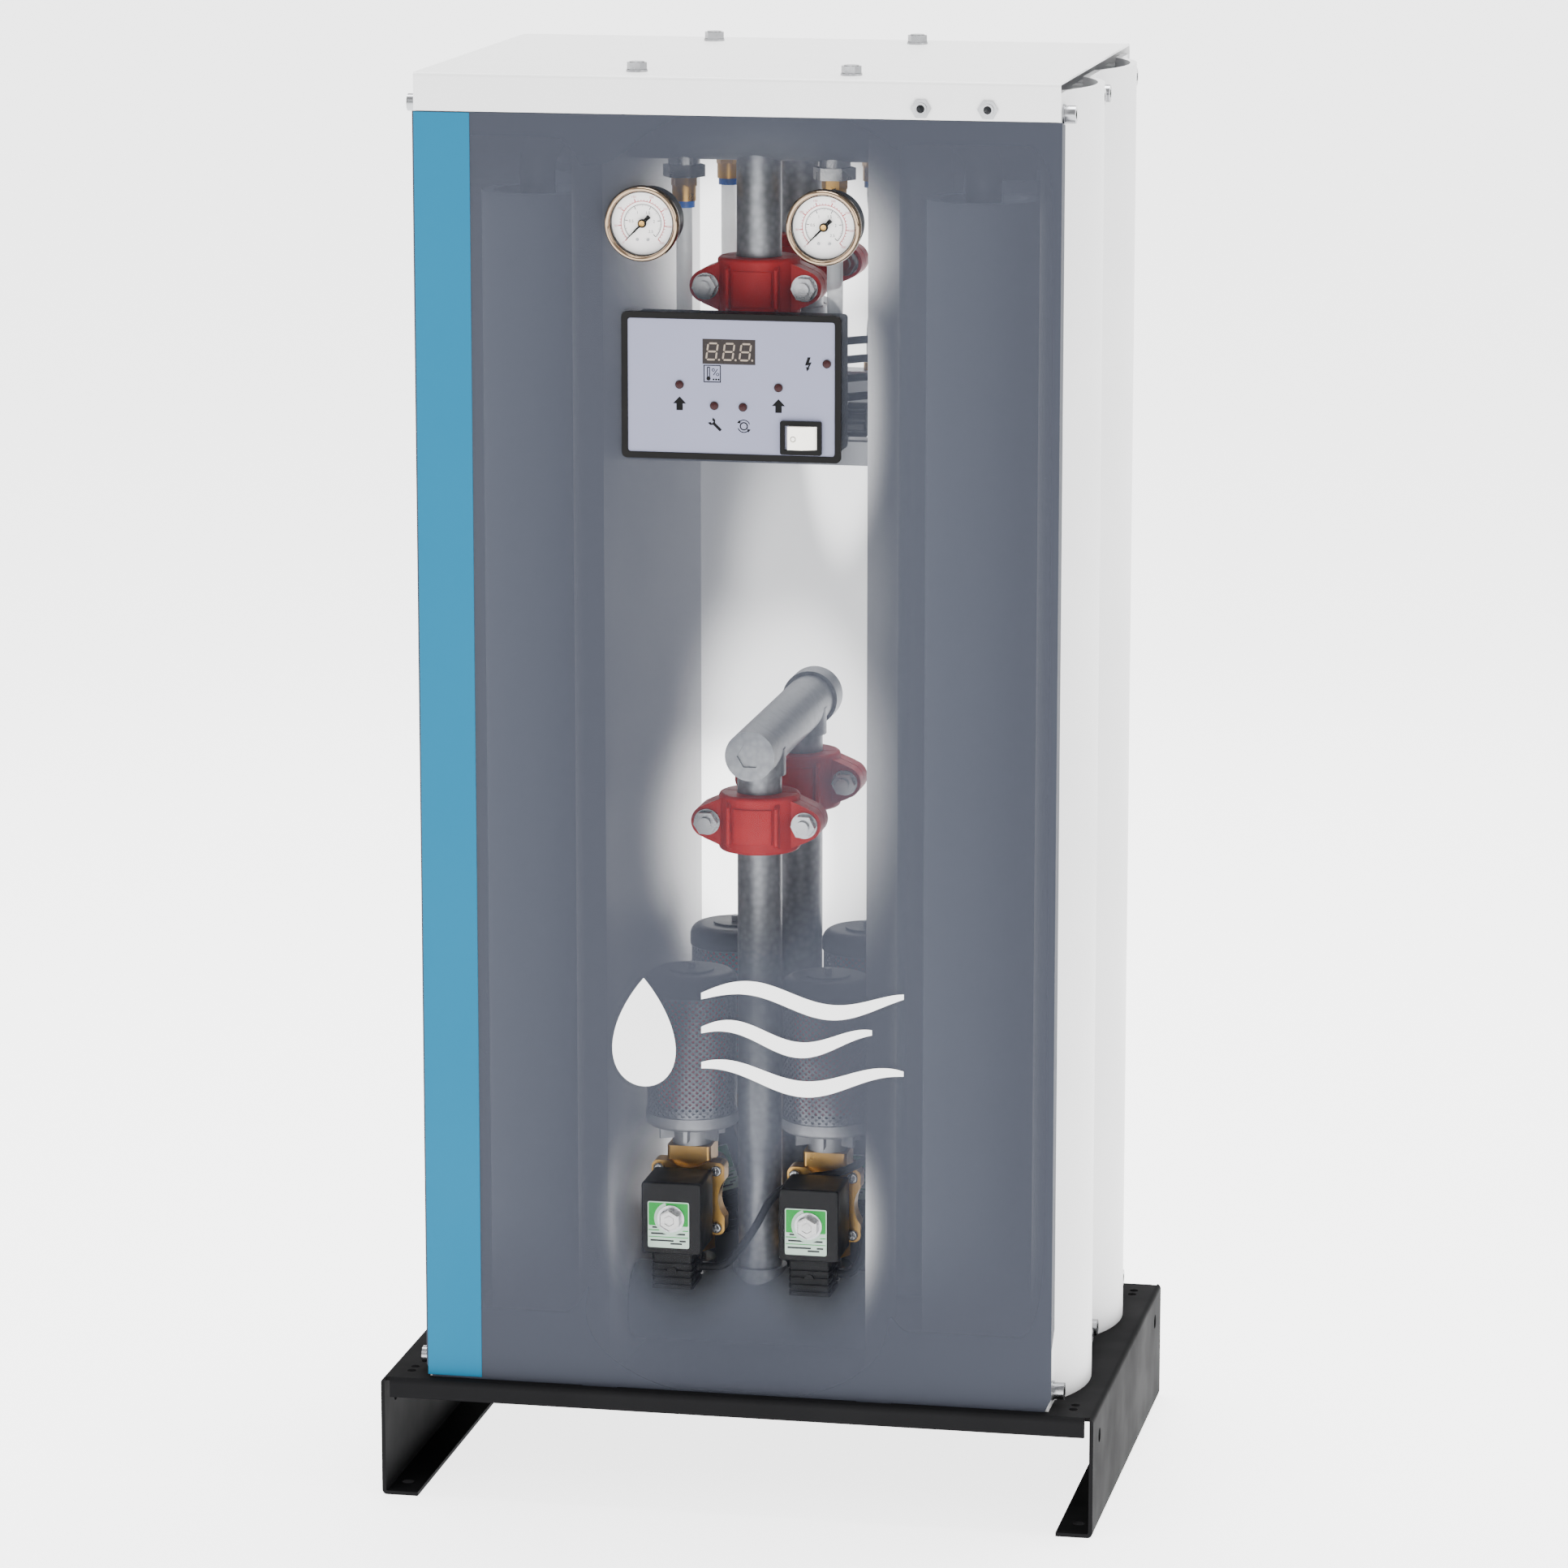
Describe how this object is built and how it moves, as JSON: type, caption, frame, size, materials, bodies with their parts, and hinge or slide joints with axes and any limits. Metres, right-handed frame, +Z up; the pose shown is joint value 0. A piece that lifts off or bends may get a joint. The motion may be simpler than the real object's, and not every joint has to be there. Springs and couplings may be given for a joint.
{
  "type": "desiccant air dryer",
  "caption": "Twin-tower desiccant compressed-air dryer: two lobed shells with drying tubes, headers, exhaust valves with silencers, smoked panel with gauges and controller, on a folded base.",
  "frame": {"origin": "on the floor under the middle of the base", "axes": "+X to the right seen from the front, +Y to the back, +Z up; the panel with the gauges faces -Y"},
  "size_m": [0.55, 0.37, 1.0955],
  "materials": {
    "powder_black": "satin black powder coat",
    "powder_white": "smooth white powder coat",
    "white_aluminium": "white coated extruded aluminium",
    "bare_aluminium": "bare extruded aluminium",
    "zinc_steel": "zinc plated steel",
    "smoked_panel": "smoked blue-grey sheet",
    "cyan_film": "cyan vinyl film",
    "tube_aluminium": "dark anodised drawn tube",
    "seal_rubber": "matt black rubber",
    "desiccant": "desiccant beads",
    "manifold_steel": "grey primed steel",
    "pipe_steel": "galvanised steel pipe",
    "coupling_red": "red painted cast iron",
    "brass": "cast brass",
    "coil_black": "black moulded resin",
    "plug_black": "black moulded nylon",
    "die_cast": "grey die casting",
    "mesh_steel": "perforated steel sheet",
    "element_red": "pink filter felt",
    "cap_black": "black moulded cap",
    "gauge_black": "black enamelled steel",
    "chrome": "bright chrome",
    "dial_white": "white printed dial",
    "lens_glass": "clear glass",
    "needle_black": "black needle",
    "bezel_black": "black bezel",
    "housing_black": "black housing",
    "board_green": "circuit board",
    "lens_red": "smoked red lenses",
    "switch_black": "black switch frame",
    "rocker_white": "lit white rocker",
    "steel_fitting": "plated steel",
    "collar_blue": "blue release collar",
    "clear_tube": "translucent hose",
    "knob_black": "black knob",
    "cable_black": "black cable sheath",
    "shuttle_white": "white acetal"
  },
  "bodies": {
    "frame": {"air_lines": "clear_tube", "base_frame": "powder_black", "bed_retainers": "zinc_steel", "blue_stripe": "cyan_film", "cable_fittings": "plug_black", "casing_fasteners": "zinc_steel", "circuit_board": "board_green", "coil_plugs": "plug_black", "controller_bezel": "bezel_black", "controller_box": "housing_black", "coupling_fasteners": "zinc_steel", "coupling_gaskets": "seal_rubber", "coupling_halves": "coupling_red", "cross_bars": "bare_aluminium", "desiccant_beds": "desiccant", "display_and_lamps": "lens_red", "drop_adapters": "steel_fitting", "drying_tubes": "tube_aluminium", "fitting_collars": "collar_blue", "front_panel": "smoked_panel", "gauge_bezels": "chrome", "gauge_cases": "gauge_black", "gauge_dials": "dial_white", "gauge_lenses": "lens_glass", "lower_crossover": "pipe_steel", "lower_manifolds": "manifold_steel", "plug_seals": "seal_rubber", "purge_blocks": "bare_aluminium", "push_fittings": "brass", "risers": "pipe_steel", "side_shell_left": "white_aluminium", "side_shell_right": "white_aluminium", "silencer_bases": "die_cast", "silencer_caps": "cap_black", "silencer_elements": "element_red", "silencer_jackets": "mesh_steel", "switch_frame": "switch_black", "top_cover": "powder_white", "tower_connections": "pipe_steel", "tube_end_plugs": "bare_aluminium", "upper_crossover": "pipe_steel", "upper_manifolds": "manifold_steel", "valve_bodies": "brass", "valve_bonnets": "brass", "valve_cables": "cable_black", "valve_coils": "coil_black", "valve_fasteners": "zinc_steel", "valve_nipples": "steel_fitting"},
    "outlet_shuttle_front": {"outlet_shuttle_front": "shuttle_white"},
    "outlet_shuttle_rear": {"outlet_shuttle_rear": "shuttle_white"},
    "inlet_shuttle_front": {"inlet_shuttle_front": "shuttle_white"},
    "inlet_shuttle_rear": {"inlet_shuttle_rear": "shuttle_white"},
    "gauge_needle_left": {"gauge_needle_left": "needle_black"},
    "gauge_needle_right": {"gauge_needle_right": "needle_black"},
    "switch_rocker": {"switch_rocker": "rocker_white"},
    "purge_knob": {"purge_knob": "knob_black"},
    "valve_plunger_front_left": {"valve_plunger_front_left": "steel_fitting"},
    "valve_plunger_front_right": {"valve_plunger_front_right": "steel_fitting"},
    "valve_plunger_rear_left": {"valve_plunger_rear_left": "steel_fitting"},
    "valve_plunger_rear_right": {"valve_plunger_rear_right": "steel_fitting"}
  },
  "joints": [
    {"name": "switch_rock", "type": "hinge", "parent": "frame", "child": "switch_rocker", "pos_m": [0.0505, -0.1725, 0.826], "axis": [0, 0, 1], "range_deg": [-20, 0]},
    {"name": "gauge_left", "type": "hinge", "parent": "frame", "child": "gauge_needle_left", "pos_m": [-0.0675, -0.1795, 0.981], "axis": [0, 1, 0], "range_deg": [0, 270], "stiffness_Nm_per_rad": 0.002},
    {"name": "gauge_right", "type": "hinge", "parent": "frame", "child": "gauge_needle_right", "pos_m": [0.0675, -0.1795, 0.981], "axis": [0, 1, 0], "range_deg": [0, 270], "stiffness_Nm_per_rad": 0.002},
    {"name": "valve_front_left", "type": "slide", "parent": "frame", "child": "valve_plunger_front_left", "axis": [0, -1, 0], "range_m": [0, 0.003], "stiffness_N_per_m": 500, "springref_m": -0.002},
    {"name": "valve_front_right", "type": "slide", "parent": "frame", "child": "valve_plunger_front_right", "axis": [0, -1, 0], "range_m": [0, 0.003], "stiffness_N_per_m": 500, "springref_m": -0.002},
    {"name": "valve_rear_left", "type": "slide", "parent": "frame", "child": "valve_plunger_rear_left", "axis": [0, -1, 0], "range_m": [0, 0.003], "stiffness_N_per_m": 500, "springref_m": -0.002},
    {"name": "valve_rear_right", "type": "slide", "parent": "frame", "child": "valve_plunger_rear_right", "axis": [0, -1, 0], "range_m": [0, 0.003], "stiffness_N_per_m": 500, "springref_m": -0.002},
    {"name": "inlet_shuttle_front_slide", "type": "slide", "parent": "frame", "child": "inlet_shuttle_front", "axis": [1, 0, 0], "range_m": [-0.0079, 0.0079]},
    {"name": "inlet_shuttle_rear_slide", "type": "slide", "parent": "frame", "child": "inlet_shuttle_rear", "axis": [1, 0, 0], "range_m": [-0.0079, 0.0079]},
    {"name": "outlet_shuttle_front_slide", "type": "slide", "parent": "frame", "child": "outlet_shuttle_front", "axis": [1, 0, 0], "range_m": [-0.0079, 0.0079]},
    {"name": "outlet_shuttle_rear_slide", "type": "slide", "parent": "frame", "child": "outlet_shuttle_rear", "axis": [1, 0, 0], "range_m": [-0.0079, 0.0079]},
    {"name": "purge_turn", "type": "hinge", "parent": "frame", "child": "purge_knob", "pos_m": [0.066, -0.082, 0.827], "axis": [1, 0, 0], "range_deg": [0, 340]}
  ]
}
